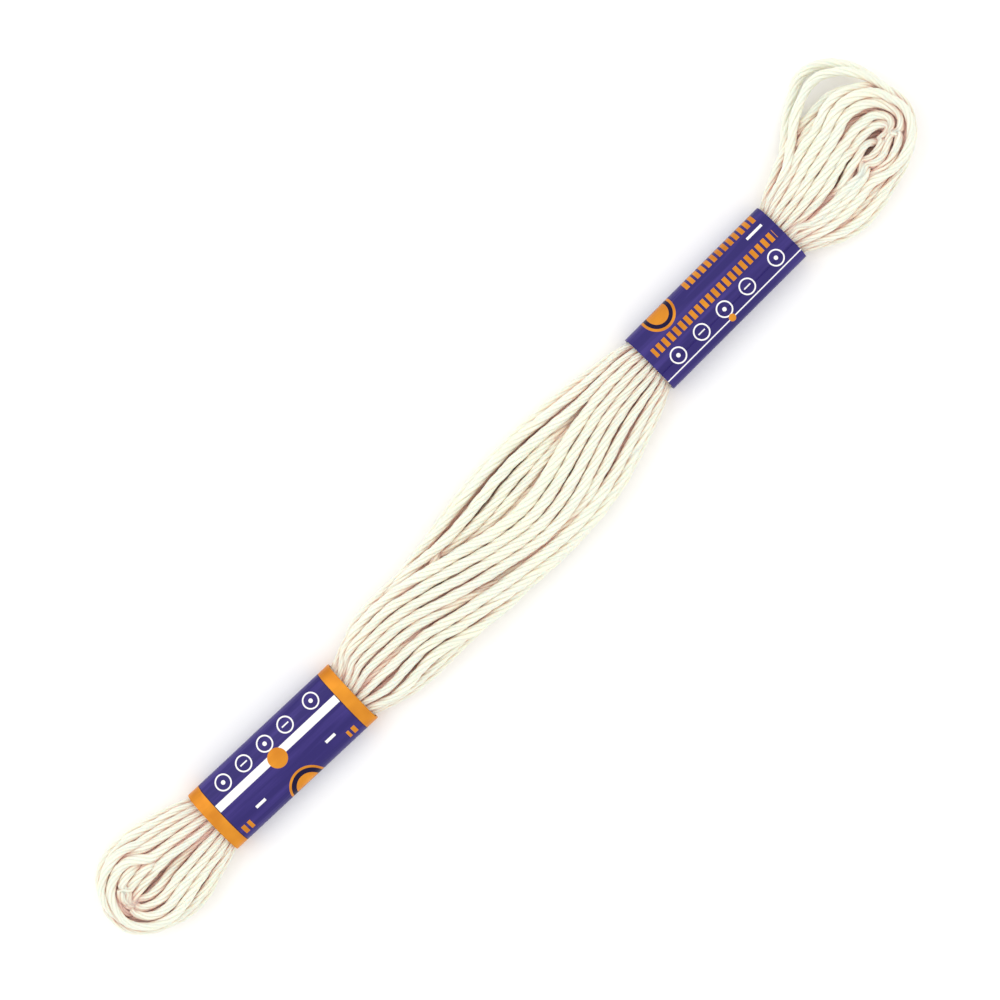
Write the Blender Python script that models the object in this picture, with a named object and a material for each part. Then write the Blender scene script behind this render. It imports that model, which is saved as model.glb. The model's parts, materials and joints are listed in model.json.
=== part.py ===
"""A hank of six-strand embroidery floss with two paper label bands, lying flat.

Metres, +Z up. The hank runs along X and rests on the plane z = 0. The origin is the
middle of its underside. Tables are in millimetres, as floss and labels are measured.
"""

import math

import bmesh
import bpy
from mathutils import Matrix, Vector

MM = 0.001

# Label bands: the printed paper, wrapped round once and glued where its end overlaps.
PAPER_WALL = 0.3
BAND_HEIGHT = 6.2
BAND_SECTION_POWER = 2.6
BAND_POINTS = 44
# Degrees round the section: the flap's edge falls in FLAP_EDGE, and past its fold the
# layers lie down in FLAP_EASE.
FLAP_EDGE = 1.0
FLAP_EASE = 26.0
BAND_COLUMNS = ("name", "x", "y", "length", "width", "yaw_deg", "flap_from", "flap_to")
# flap_from and flap_to are places round the section, in degrees from +Y towards the top.
BANDS = [
    ("label-band-left", -48.0, -4.45, 27.5, 10.5, -1.9, 40.0, 96.0),
    ("label-band-right", 42.45, -1.8, 26.8, 9.8, 0.0, 112.0, 158.0),
]

# The body of the hank from inside one band to inside the other. y_high and y_low are its
# two edges, top its height, lift how far its underside is off the table. part is where the
# surface turns part from each other, as a share of the width, and open how wide they gape.
BODY_COLUMNS = ("x", "y_high", "y_low", "top", "lift", "part", "open")
BODY = [
    (-59.8, 0.50, -8.60, 5.2, 0.8, 0.80, 0.00),
    (-48.0, 0.10, -9.00, 5.2, 0.8, 0.82, 0.00),
    (-36.8, -0.25, -9.35, 5.2, 0.8, 0.86, 0.00),
    (-33.9, -0.20, -9.60, 5.2, 0.8, 0.86, 0.00),
    (-31.3, 0.90, -10.90, 5.8, 0.2, 0.86, 0.01),
    (-28.5, 1.75, -11.90, 6.3, 0.0, 0.85, 0.02),
    (-17.6, 2.40, -12.40, 7.0, 0.0, 0.76, 0.04),
    (-6.6, 4.30, -12.65, 7.3, 0.0, 0.60, 0.12),
    (0.8, 5.35, -12.95, 7.4, 0.0, 0.51, 0.16),
    (8.0, 5.45, -12.75, 7.4, 0.0, 0.53, 0.15),
    (15.4, 5.05, -11.45, 7.0, 0.0, 0.60, 0.08),
    (22.7, 4.15, -9.05, 6.4, 0.0, 0.68, 0.01),
    (26.6, 3.30, -7.50, 5.9, 0.2, 0.70, 0.00),
    (28.8, 2.50, -6.15, 5.3, 0.7, 0.70, 0.00),
    (31.0, 2.40, -6.00, 5.2, 0.8, 0.70, 0.00),
    (42.4, 2.40, -6.00, 5.2, 0.8, 0.70, 0.00),
    (54.4, 2.40, -6.00, 5.2, 0.8, 0.70, 0.00),
]
LONGEST_STEP = 3.4
TURNS_ABOVE = 3
TURNS_BELOW = 6

# The end loops, from the leg on the +Y side round the tip to the leg on the -Y side. Each
# row is one section: a point on the opening's edge, one on the outside, and the height.
LOOP_COLUMNS = ("inner_x", "inner_y", "outer_x", "outer_y", "top", "lift")
LEFT_LOOP = [
    (-57.5, -4.15, -57.5, 0.05, 5.0, 1.0),
    (-61.5, -4.20, -61.5, 0.35, 5.1, 0.9),
    (-63.8, -4.20, -63.8, 1.90, 5.8, 0.2),
    (-67.2, -3.90, -67.2, 2.95, 6.3, 0.0),
    (-71.4, -3.35, -71.4, 4.15, 6.6, 0.0),
    (-75.0, -3.15, -75.4, 4.75, 6.6, 0.0),
    (-77.4, -3.30, -79.0, 3.75, 6.6, 0.0),
    (-78.4, -3.80, -81.6, 1.30, 6.6, 0.0),
    (-78.7, -4.40, -82.75, -2.90, 6.6, 0.0),
    (-78.3, -5.00, -82.3, -6.50, 6.6, 0.0),
    (-77.4, -5.45, -80.5, -9.30, 6.6, 0.0),
    (-75.6, -5.75, -77.4, -11.70, 6.6, 0.0),
    (-73.0, -5.75, -73.6, -12.75, 6.6, 0.0),
    (-70.2, -5.45, -70.2, -12.05, 6.5, 0.0),
    (-66.6, -5.00, -66.6, -10.35, 6.1, 0.0),
    (-63.8, -4.75, -63.8, -9.75, 5.7, 0.2),
    (-61.5, -4.60, -61.5, -8.40, 5.1, 0.9),
    (-57.5, -4.55, -57.5, -8.35, 5.0, 1.0),
]
RIGHT_LOOP = [
    (52.0, -3.10, 52.0, 2.10, 5.0, 1.0),
    (55.4, -3.15, 55.4, 2.20, 5.1, 0.9),
    (57.6, -3.25, 57.6, 3.75, 5.8, 0.2),
    (61.2, -3.25, 61.2, 5.55, 6.3, 0.0),
    (65.4, -2.40, 65.4, 7.40, 6.6, 0.0),
    (69.4, -0.75, 69.4, 8.20, 6.8, 0.0),
    (73.2, 0.20, 73.4, 8.50, 6.8, 0.0),
    (75.8, 0.10, 77.2, 7.95, 6.8, 0.0),
    (77.3, -0.50, 80.4, 5.75, 6.8, 0.0),
    (77.9, -1.30, 82.3, 2.20, 6.8, 0.0),
    (77.9, -2.20, 82.75, -1.60, 6.8, 0.0),
    (77.1, -3.10, 81.7, -5.00, 6.8, 0.0),
    (75.4, -3.75, 79.2, -7.95, 6.7, 0.0),
    (72.8, -4.05, 75.2, -9.20, 6.6, 0.0),
    (69.4, -4.15, 70.2, -9.65, 6.5, 0.0),
    (65.4, -4.10, 65.4, -10.10, 6.4, 0.0),
    (61.6, -3.95, 61.6, -9.30, 6.2, 0.0),
    (58.0, -3.75, 58.0, -7.10, 5.7, 0.2),
    (55.4, -3.60, 55.4, -5.75, 5.1, 0.9),
    (52.0, -3.55, 52.0, -5.70, 5.0, 1.0),
]
LOOP_ROWS_BETWEEN = 2
LOOP_TURNS = 6
# Turns lower down close each loop's opening: a floor from BED_LOW to BED_HIGH, which
# reaches BED_INTO the legs.
BED_LOW = 1.0
BED_HIGH = 3.2
BED_INTO = 1.0

# Two turns have slipped out of the loop on the right and stand clear of it.
FLOSS_THICK = 1.3
TURN_COLUMNS = ("x", "y", "z")
OUTER_TURN = [
    (64.0, 4.4, 2.4),
    (66.6, 7.6, 1.9),
    (69.1, 9.75, 1.4),
    (70.9, 11.0, 1.0),
    (72.8, 12.0, 0.7),
    (74.6, 12.4, 0.7),
    (76.4, 12.0, 0.8),
    (78.2, 10.8, 1.2),
    (79.5, 8.9, 1.9),
    (80.3, 6.4, 2.6),
    (79.6, 3.6, 3.0),
]
INNER_TURN = [
    (66.0, 5.0, 4.4),
    (68.3, 7.9, 4.0),
    (70.7, 9.6, 3.5),
    (73.0, 10.35, 3.2),
    (75.2, 10.4, 3.2),
    (77.2, 9.5, 3.6),
    (78.9, 7.9, 4.2),
    (79.9, 5.6, 4.6),
    (79.2, 3.0, 4.6),
]
TURN_STEP = 1.6

# A section's edges stand at this share of its height, and this share of its underside is flat.
SIDE_SHARE = 0.42
FLAT_SHARE = 0.4
SECTION_POWER = 2.5
RIDGE_DEPTH = 0.38
PARTING_DEPTH = 1.7
BODY_UNDER_POINTS = 8
LOOP_UNDER_POINTS = 6


def clear_scene():
    for thing in list(bpy.data.objects):
        bpy.data.objects.remove(thing, do_unlink=True)


def add_collection(name):
    collection = bpy.data.collections.new(name)
    bpy.context.scene.collection.children.link(collection)
    return collection


def add_material(name, colour, roughness, metallic=0.0):
    material = bpy.data.materials.new(name)
    material.use_nodes = True
    shader = material.node_tree.nodes["Principled BSDF"]
    shader.inputs["Base Color"].default_value = (*colour, 1.0)
    shader.inputs["Roughness"].default_value = roughness
    shader.inputs["Metallic"].default_value = metallic
    return material


def rows_of(table, columns):
    return [dict(zip(columns, row)) for row in table]


def curve_through(knots, values, at):
    """The smooth curve through (knot, value) pairs, read at one place along the knots."""
    last = len(knots) - 1
    i = max(0, min(last - 1, sum(knot <= at for knot in knots) - 1))
    span = knots[i + 1] - knots[i]
    t = (at - knots[i]) / span
    slopes = []
    for j in (i, i + 1):
        before, after = max(0, j - 1), min(last, j + 1)
        slopes.append((values[after] - values[before]) / (knots[after] - knots[before]))
    a, b = values[i], values[i + 1]
    return (
        (1 + 2 * t) * (1 - t) ** 2 * a
        + t * (1 - t) ** 2 * span * slopes[0]
        + t * t * (3 - 2 * t) * b
        + t * t * (t - 1) * span * slopes[1]
    )


def arch(share):
    """Height of a rounded section, 0 at its two edges and 1 over most of its width."""
    across = min(1.0, abs(2 * share - 1))
    return (1 - across**SECTION_POWER) ** (1 / SECTION_POWER)


def surface(thick, share):
    """Height of the top of a section above its underside, before its ridges are cut."""
    return thick * (SIDE_SHARE + (1 - SIDE_SHARE) * arch(share))


def loft(name, rings):
    """One closed mesh from rings with equal numbers of points, capped at both ends."""
    mesh = bpy.data.meshes.new(name)
    shape = bmesh.new()
    rows = [[shape.verts.new(point) for point in ring] for ring in rings]
    count = len(rows[0])
    for near, far in zip(rows, rows[1:]):
        for i in range(count):
            j = (i + 1) % count
            shape.faces.new((near[i], near[j], far[j], far[i]))
    shape.faces.new(rows[0])
    shape.faces.new(rows[-1])
    bmesh.ops.recalc_face_normals(shape, faces=shape.faces)
    shape.to_mesh(mesh)
    shape.free()
    return bpy.data.objects.new(name, mesh)


def ring_of(shares, heights, low, high, lift, under_points, place):
    """A section's points: over the top from high to low, then back along the underside."""
    points = [place(low + (high - low) * s, lift + z) for s, z in zip(shares, heights)]
    side = heights[0]
    for k in range(under_points):
        across = 2 * (k + 0.5) / under_points - 1
        curled = max(0.0, abs(across) - FLAT_SHARE) / (1 - FLAT_SHARE)
        z = lift + side * (1 - arch(0.5 + curled / 2))
        points.append(place(low + (high - low) * (0.5 + across / 2), z))
    return points


def body_row(x):
    rows = rows_of(BODY, BODY_COLUMNS)
    knots = [row["x"] for row in rows]
    return {
        column: curve_through(knots, [row[column] for row in rows], x)
        for column in BODY_COLUMNS
    }


def body_section(x):
    """One section of the body, with a ridge for each turn of floss that lies on top.

    The turns below the parting sweep down and up again as a group, so their ridges follow
    the parting, and the turns above it close up towards the other edge.
    """
    row = body_row(x)
    lift = max(0.0, row["lift"])
    thick = row["top"] - lift
    part, gape = row["part"], max(0.0, row["open"])
    upper_start = min(0.93, part + gape)
    shares, heights = [1.0], [SIDE_SHARE * thick]
    for k in range(2 * TURNS_ABOVE - 1, -1, -1):
        share = upper_start + (1 - upper_start) * (k + 0.5) / (2 * TURNS_ABOVE)
        dip = 0.0 if k % 2 else RIDGE_DEPTH
        shares.append(share)
        heights.append(surface(thick, share) - dip)
    middle = (part + upper_start) / 2
    shares.append(middle)
    heights.append(surface(thick, middle) - PARTING_DEPTH * gape / 0.16 - RIDGE_DEPTH)
    for k in range(2 * TURNS_BELOW - 1, -1, -1):
        share = part * (k + 0.5) / (2 * TURNS_BELOW)
        dip = RIDGE_DEPTH if k % 2 == 0 else 0.0
        shares.append(share)
        heights.append(surface(thick, share) - dip)
    shares.append(0.0)
    heights.append(SIDE_SHARE * thick)

    def place(y, z):
        return (x * MM, y * MM, z * MM)

    return ring_of(shares, heights, row["y_low"], row["y_high"], lift, BODY_UNDER_POINTS, place)


def make_body():
    knots = [row[0] for row in BODY]
    places = [knots[0]]
    for near, far in zip(knots, knots[1:]):
        steps = math.ceil((far - near) / LONGEST_STEP)
        places += [near + (far - near) * (k + 1) / steps for k in range(steps)]
    return loft("floss-hank", [body_section(x) for x in places])


def make_loop(name, table):
    """An end loop: the bundle's section swept from one leg round the tip to the other."""
    rows = rows_of(table, LOOP_COLUMNS)
    knots = list(range(len(rows)))
    rings = []
    for k in range((len(rows) - 1) * LOOP_ROWS_BETWEEN + 1):
        at = k / LOOP_ROWS_BETWEEN
        row = {c: curve_through(knots, [r[c] for r in rows], at) for c in LOOP_COLUMNS}
        inner = Vector((row["inner_x"], row["inner_y"], 0.0))
        outer = Vector((row["outer_x"], row["outer_y"], 0.0))
        across = (outer - inner).normalized()
        width = (outer - inner).length
        lift = max(0.0, row["lift"])
        thick = row["top"] - lift
        shares, heights = [1.0], [SIDE_SHARE * thick]
        for j in range(2 * LOOP_TURNS - 1, -1, -1):
            share = (j + 0.5) / (2 * LOOP_TURNS)
            dip = RIDGE_DEPTH if j % 2 else 0.0
            shares.append(share)
            heights.append(surface(thick, share) - dip)
        shares.append(0.0)
        heights.append(SIDE_SHARE * thick)

        def place(along, z, inner=inner, across=across):
            point = inner + across * along
            return (point.x * MM, point.y * MM, z * MM)

        rings.append(ring_of(shares, heights, 0.0, width, lift, LOOP_UNDER_POINTS, place))
    return loft(name, rings)


def as_mesh(name, drawn):
    """A curve object made a closed mesh object in the same place, to be joined on."""
    bpy.context.scene.collection.objects.link(drawn)
    bpy.context.view_layer.update()
    graph = bpy.context.evaluated_depsgraph_get()
    mesh = bpy.data.meshes.new_from_object(drawn.evaluated_get(graph))
    solid = bpy.data.objects.new(name, mesh)
    solid.matrix_world = drawn.matrix_world.copy()
    bpy.data.objects.remove(drawn, do_unlink=True)
    shape = bmesh.new()
    shape.from_mesh(mesh)
    bmesh.ops.remove_doubles(shape, verts=shape.verts, dist=0.01 * MM)
    bmesh.ops.recalc_face_normals(shape, faces=shape.faces)
    shape.to_mesh(mesh)
    shape.free()
    return solid


def make_bed(name, table):
    """The lower turns that close a loop's opening: its outline, extruded as a floor."""
    curve = bpy.data.curves.new(name, "CURVE")
    curve.dimensions = "2D"
    curve.fill_mode = "BOTH"
    curve.extrude = (BED_HIGH - BED_LOW) / 2 * MM
    outline = []
    for row in rows_of(table, LOOP_COLUMNS):
        inner = Vector((row["inner_x"], row["inner_y"]))
        outer = Vector((row["outer_x"], row["outer_y"]))
        outline.append(inner + (outer - inner).normalized() * BED_INTO)
    add_outline(curve, outline)
    floor = bpy.data.objects.new(name + "-curve", curve)
    floor.location.z = (BED_LOW + BED_HIGH) / 2 * MM
    return as_mesh(name, floor)


def make_loose_turn(name, table):
    """A single turn of floss as a round tube, made a mesh so that it can be joined on."""
    rows = rows_of(table, TURN_COLUMNS)
    knots = [0.0]
    for a, b in zip(table, table[1:]):
        knots.append(knots[-1] + math.dist(a, b))
    steps = round(knots[-1] / TURN_STEP)
    curve = bpy.data.curves.new(name, "CURVE")
    curve.dimensions = "3D"
    curve.bevel_depth = FLOSS_THICK / 2 * MM
    curve.bevel_resolution = 2
    curve.use_fill_caps = True
    spline = curve.splines.new("POLY")
    spline.points.add(steps)
    for k, point in enumerate(spline.points):
        at = knots[-1] * k / steps
        place = [curve_through(knots, [r[c] for r in rows], at) * MM for c in TURN_COLUMNS]
        point.co = (*place, 1.0)
    return as_mesh(name, bpy.data.objects.new(name + "-curve", curve))


def superellipse(half_y, half_z, degrees):
    """A point of the band's section: 0 degrees is +Y, and 90 degrees is the top."""
    angle = math.radians(degrees)
    c, s = math.cos(angle), math.sin(angle)
    power = 2 / BAND_SECTION_POWER
    return (
        half_y * math.copysign(abs(c) ** power, c),
        half_z * math.copysign(abs(s) ** power, s),
    )


def paper_layers(degrees, flap_from, flap_to):
    """How many layers of paper lie here: two under the flap, easing to one behind it."""
    if flap_from <= degrees <= flap_to:
        return 2.0
    if flap_to < degrees < flap_to + FLAP_EASE:
        return 2.0 - (degrees - flap_to) / FLAP_EASE
    return 1.0


def add_outline(curve, points):
    spline = curve.splines.new("POLY")
    spline.points.add(len(points) - 1)
    for point, (y, z) in zip(spline.points, points):
        point.co = (y * MM, z * MM, 0.0, 1.0)
    spline.use_cyclic_u = True


def make_band(row):
    """A band of paper: its section as a flat outline, extruded along the hank."""
    # Its sides and underside are one layer of paper, and its top is two under the flap.
    inner_y = row["width"] / 2 - PAPER_WALL
    inner_z = (BAND_HEIGHT - 3 * PAPER_WALL) / 2
    angles = [360 * k / BAND_POINTS for k in range(BAND_POINTS)]
    # The flap's edge is a step, so it gets a point on each side of it.
    step = row["flap_from"]
    angles = sorted(angles + [step - FLAP_EDGE, step])
    inside = [superellipse(inner_y, inner_z, a) for a in angles]
    outside = []
    for a in angles:
        wall = PAPER_WALL * paper_layers(a, row["flap_from"], row["flap_to"])
        outside.append(superellipse(inner_y + wall, inner_z + wall, a))
    curve = bpy.data.curves.new(row["name"], "CURVE")
    curve.dimensions = "2D"
    curve.fill_mode = "BOTH"
    curve.extrude = row["length"] / 2 * MM
    add_outline(curve, outside)
    add_outline(curve, inside)
    band = bpy.data.objects.new(row["name"], curve)
    # The outline's own axes become Y and Z, and its extrusion X.
    stand = Matrix(((0, 0, 1), (1, 0, 0), (0, 1, 0))).to_4x4()
    band.matrix_world = (
        Matrix.Translation((row["x"] * MM, row["y"] * MM, (inner_z + PAPER_WALL) * MM))
        @ Matrix.Rotation(math.radians(row["yaw_deg"]), 4, "Z")
        @ stand
    )
    return band


def join_on(body, helper, helpers):
    helpers.objects.link(helper)
    helper.hide_render = True
    helper.display_type = "WIRE"
    union = body.modifiers.new("join " + helper.name, "BOOLEAN")
    union.operation = "UNION"
    union.solver = "EXACT"
    union.object = helper


def main():
    clear_scene()
    parts = add_collection("embroidery floss hank")
    helpers = add_collection("joined shapes")

    cotton = add_material("mercerised cotton", (0.93, 0.90, 0.72), 0.65)
    paper = add_material("printed label paper", (0.055, 0.036, 0.19), 0.35)

    hank = make_body()
    hank.data.materials.append(cotton)
    parts.objects.link(hank)
    for side, table in (("left", LEFT_LOOP), ("right", RIGHT_LOOP)):
        join_on(hank, make_loop(side + "-loop", table), helpers)
        join_on(hank, make_bed(side + "-bed", table), helpers)
    join_on(hank, make_loose_turn("outer-loose-turn", OUTER_TURN), helpers)
    join_on(hank, make_loose_turn("inner-loose-turn", INNER_TURN), helpers)

    for row in rows_of(BANDS, BAND_COLUMNS):
        band = make_band(row)
        band.data.materials.append(paper)
        parts.objects.link(band)


main()
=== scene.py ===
import json
import math

import bpy
import numpy as np
from mathutils import Matrix, Vector

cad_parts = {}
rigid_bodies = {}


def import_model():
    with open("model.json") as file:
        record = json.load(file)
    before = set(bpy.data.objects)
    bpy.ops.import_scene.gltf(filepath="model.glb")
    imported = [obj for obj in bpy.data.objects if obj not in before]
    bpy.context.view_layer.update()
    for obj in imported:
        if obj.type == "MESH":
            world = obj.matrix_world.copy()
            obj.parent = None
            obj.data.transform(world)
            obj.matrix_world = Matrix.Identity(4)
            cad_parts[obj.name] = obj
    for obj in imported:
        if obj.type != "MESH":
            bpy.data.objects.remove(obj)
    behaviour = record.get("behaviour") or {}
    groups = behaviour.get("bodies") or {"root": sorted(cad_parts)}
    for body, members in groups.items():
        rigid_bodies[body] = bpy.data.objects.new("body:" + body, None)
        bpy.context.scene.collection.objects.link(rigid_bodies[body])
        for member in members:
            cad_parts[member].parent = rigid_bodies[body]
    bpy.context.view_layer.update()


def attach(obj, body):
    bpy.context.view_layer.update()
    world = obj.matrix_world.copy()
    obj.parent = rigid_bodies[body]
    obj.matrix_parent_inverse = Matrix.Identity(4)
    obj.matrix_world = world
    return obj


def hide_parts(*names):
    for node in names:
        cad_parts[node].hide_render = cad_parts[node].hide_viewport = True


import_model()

mm = 0.001

# --- camera and light ---

camera = {
    "height": 0.482,  # above the middle of the hank, looking straight down
    "lens": 120.0,
    "roll": -45.0,  # the hank crosses the frame from corner to corner
    "aimX": 0.0001,
    "aimY": -0.00045,
}


def makeCamera():
    view = bpy.data.cameras.new("camera")
    view.lens = camera["lens"]
    view.sensor_width = 36.0
    view.clip_start = 0.01
    view.clip_end = 10.0
    eye = bpy.data.objects.new("camera", view)
    bpy.context.collection.objects.link(eye)
    eye.location = (camera["aimX"], camera["aimY"], camera["height"])
    eye.rotation_euler = (0.0, 0.0, math.radians(camera["roll"]))
    bpy.context.scene.camera = eye


light = {
    "sky": 1.0,
    "key": 0.9,
    "keySize": 0.5,
    "fill": 0.35,
}


def addLamp(name, place, power, size):
    lamp = bpy.data.lights.new(name, "AREA")
    lamp.energy = power
    lamp.size = size
    holder = bpy.data.objects.new(name, lamp)
    bpy.context.collection.objects.link(holder)
    holder.location = place
    holder.rotation_euler = (-Vector(place)).to_track_quat("-Z", "Y").to_euler()
    return holder


def hexColour(code):
    # sRGB hex to the linear values that shaders take
    parts = [int(code[i : i + 2], 16) / 255 for i in (1, 3, 5)]
    return [p / 12.92 if p <= 0.04045 else ((p + 0.055) / 1.055) ** 2.4 for p in parts] + [1.0]


def addNode(tree, kind, settings=None, links=None):
    # one node, with its properties or input values set and its inputs linked
    node = tree.nodes.new(kind)
    for key, value in (settings or {}).items():
        if isinstance(key, str) and hasattr(node, key):
            setattr(node, key, value)
        else:
            node.inputs[key].default_value = value
    for key, source in (links or {}).items():
        tree.links.new(source, node.inputs[key])
    return node


def newMaterial(name):
    material = bpy.data.materials.new(name)
    material.use_nodes = True
    tree = material.node_tree
    return material, tree, tree.nodes["Principled BSDF"]


def makeStage():
    world = bpy.data.worlds.new("white studio")
    bpy.context.scene.world = world
    world.use_nodes = True
    world.node_tree.nodes["Background"].inputs["Color"].default_value = hexColour("#FFFFFF")
    world.node_tree.nodes["Background"].inputs["Strength"].default_value = light["sky"]
    bpy.ops.mesh.primitive_plane_add(size=3.0, location=(0, 0, -0.00005))
    floor = bpy.context.object
    floor.name = "white-table"
    material, tree, shader = newMaterial("white card")
    shader.inputs["Base Color"].default_value = hexColour("#FFFFFF")
    shader.inputs["Roughness"].default_value = 0.9
    floor.data.materials.append(material)
    addLamp("key", (-0.25, 0.35, 0.6), light["key"], light["keySize"])
    addLamp("fill", (0.35, -0.2, 0.5), light["fill"], light["keySize"])
    bpy.context.scene.view_settings.view_transform = "Standard"


makeCamera()
makeStage()
print("camera and light are set")

# --- how the hank is wound ---

# Sizes here are in millimetres. The bundle is cut by planes across it. Where both sides of
# the coil run beside each other the planes are square to X, and round the tip of each end
# loop they fan out. In each plane every turn of floss has a place, across and up.

winding = {
    "turns": 24,
    "planeStep": 1.68,
    "fanSteps": 3,
    "fill": 0.80,  # share of the section that is floss
    "rounds": 280,
    "layersUp": (6, 5, 5, 4, 4),  # turns in each layer on the +Y side, top to bottom
    "layersDown": (4, 5, 5, 5, 5),
    "wander": 0.50,
    "seed": 11,
    "heroTurn": 3,
    "heroThick": 1.15,
}

# Rows along the straight run. low and high are the bundle's edges, top and lift its height
# and the underside's height off the table.
runColumns = ("x", "low", "high", "top", "lift")
runRows = [
    (-71.4, -12.35, 4.15, 6.6, 0.0),
    (-67.2, -10.60, 2.95, 6.3, 0.0),
    (-63.8, -9.75, 1.90, 5.9, 0.2),
    (-61.4, -8.70, 0.55, 5.4, 0.45),
    (-58.0, -8.55, 0.45, 5.3, 0.45),
    (-48.0, -8.95, 0.05, 5.3, 0.45),
    (-38.0, -9.30, -0.30, 5.3, 0.45),
    (-34.4, -9.55, -0.20, 5.4, 0.45),
    (-31.3, -10.90, 0.90, 6.0, 0.2),
    (-28.5, -11.90, 1.75, 6.4, 0.0),
    (-17.6, -12.40, 2.40, 7.0, 0.0),
    (-6.6, -12.65, 4.30, 7.3, 0.0),
    (0.8, -12.95, 5.35, 7.4, 0.0),
    (8.0, -12.75, 5.45, 7.4, 0.0),
    (15.4, -11.45, 5.05, 7.0, 0.0),
    (22.7, -9.05, 4.15, 6.5, 0.0),
    (26.8, -7.40, 3.30, 6.0, 0.2),
    (29.2, -6.25, 2.60, 5.4, 0.45),
    (33.0, -5.95, 2.35, 5.3, 0.45),
    (42.4, -5.95, 2.35, 5.3, 0.45),
    (52.0, -5.95, 2.35, 5.3, 0.45),
    (55.6, -6.10, 2.60, 5.4, 0.45),
    (58.1, -7.30, 3.95, 5.9, 0.2),
    (61.6, -9.25, 5.65, 6.4, 0.0),
    (65.4, -10.10, 7.40, 6.7, 0.0),
    (69.4, -9.70, 8.20, 6.8, 0.0),
]

# The turns that lie on top between the labels, from the +Y edge to the -Y edge. The ones
# below the parting sag together in one long sweep.
topColumns = ("x", "s1", "s2", "s3", "s4", "s5", "s6", "s7", "s8", "s9", "s10")
topRuns = [
    (-29.0, 1.50, 1.30, 0.85, -0.35, -1.50, -2.70, -4.20, -6.20, -8.20, -9.90),
    (-22.0, 1.90, 1.60, 1.00, -0.30, -1.85, -3.15, -4.60, -6.40, -7.80, -9.50),
    (-16.0, 2.20, 1.40, -0.10, -1.55, -3.20, -4.90, -6.10, -7.80, -9.30, -10.80),
    (-10.0, 2.55, 0.95, -1.50, -3.25, -4.90, -6.60, -7.90, -9.00, -10.30, -11.60),
    (-4.0, 3.30, 1.30, -3.10, -4.80, -6.30, -7.80, -9.00, -9.90, -11.10, -12.20),
    (2.0, 3.80, 2.00, -3.60, -5.45, -7.05, -8.75, -9.40, -10.55, -11.80, -12.50),
    (8.0, 3.85, 2.10, -2.65, -4.40, -6.25, -8.10, -9.30, -10.35, -11.60, -12.40),
    (14.0, 3.30, 1.55, -1.05, -2.75, -4.45, -6.10, -7.70, -9.50, -10.70, -11.40),
    (20.0, 2.70, 1.35, -0.05, -1.50, -2.80, -4.20, -5.80, -7.60, -8.60, -9.60),
    (27.0, 2.40, 1.35, 0.30, -0.95, -2.15, -3.25, -4.40, -5.50, -6.40, -7.10),
]
# How far down a turn on top dips, where it does: s7 goes under the lower parting.
dipColumns = ("x", "s7")
dips = [(-22.0, 0.0), (-16.0, 0.7), (-10.0, 1.5), (-4.0, 1.3), (2.0, 1.1), (8.0, 0.4), (14.0, 0.0)]
# Two turns of the next layer show in the parting: where each is, and how far down.
betweenColumns = ("x", "near", "nearDown", "far", "farDown")
between = [
    (-16.0, 0.70, 1.9, 0.40, 2.6),
    (-10.0, -0.20, 1.4, -0.90, 2.1),
    (-4.0, -0.60, 0.9, -1.75, 1.4),
    (2.0, 0.15, 0.8, -1.60, 1.0),
    (8.0, 0.40, 0.8, -0.95, 1.0),
    (14.0, 0.60, 1.4, -0.10, 1.6),
    (19.0, 0.70, 2.1, 0.40, 2.4),
]

# Where turns part from each other on top. low and high are the parting's two edges, and
# depth is how far down it reaches.
partColumns = ("x", "low", "high", "depth")
mainParting = [
    (-20.0, 0.90, 0.95, 0.0),
    (-16.0, 0.60, 0.75, 0.5),
    (-12.0, -0.25, 0.30, 1.0),
    (-8.0, -1.45, 0.05, 1.4),
    (-4.0, -2.35, 0.40, 1.5),
    (0.0, -2.65, 0.85, 1.5),
    (4.0, -2.45, 1.20, 1.5),
    (8.0, -1.85, 1.15, 1.4),
    (12.0, -0.80, 0.85, 1.2),
    (16.0, 0.30, 0.60, 0.6),
    (19.5, 0.50, 0.55, 0.0),
]
lowerParting = [
    (-21.0, -5.50, -5.40, 0.0),
    (-17.0, -6.50, -6.10, 0.6),
    (-13.0, -7.60, -6.80, 1.1),
    (-9.0, -8.25, -7.40, 1.2),
    (-6.0, -8.60, -8.00, 0.9),
    (-3.0, -9.30, -8.95, 0.6),
    (1.0, -9.75, -9.50, 0.5),
    (5.0, -9.60, -9.30, 0.3),
    (9.0, -9.70, -9.50, 0.0),
]
leftOpening = [
    (-73.0, -5.40, -3.20, 1.5),
    (-71.4, -5.30, -3.25, 1.5),
    (-69.0, -5.00, -3.50, 1.3),
    (-67.2, -4.75, -3.85, 1.1),
    (-63.8, -4.60, -4.30, 0.8),
    (-61.0, -4.50, -4.40, 0.4),
]
rightOpening = [
    (56.5, -3.60, -3.50, 0.3),
    (60.0, -3.80, -3.45, 0.8),
    (63.0, -3.85, -3.15, 1.3),
    (66.0, -3.95, -2.20, 1.6),
    (69.4, -4.00, -0.85, 1.8),
    (71.0, -4.00, -0.30, 1.8),
]

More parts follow.
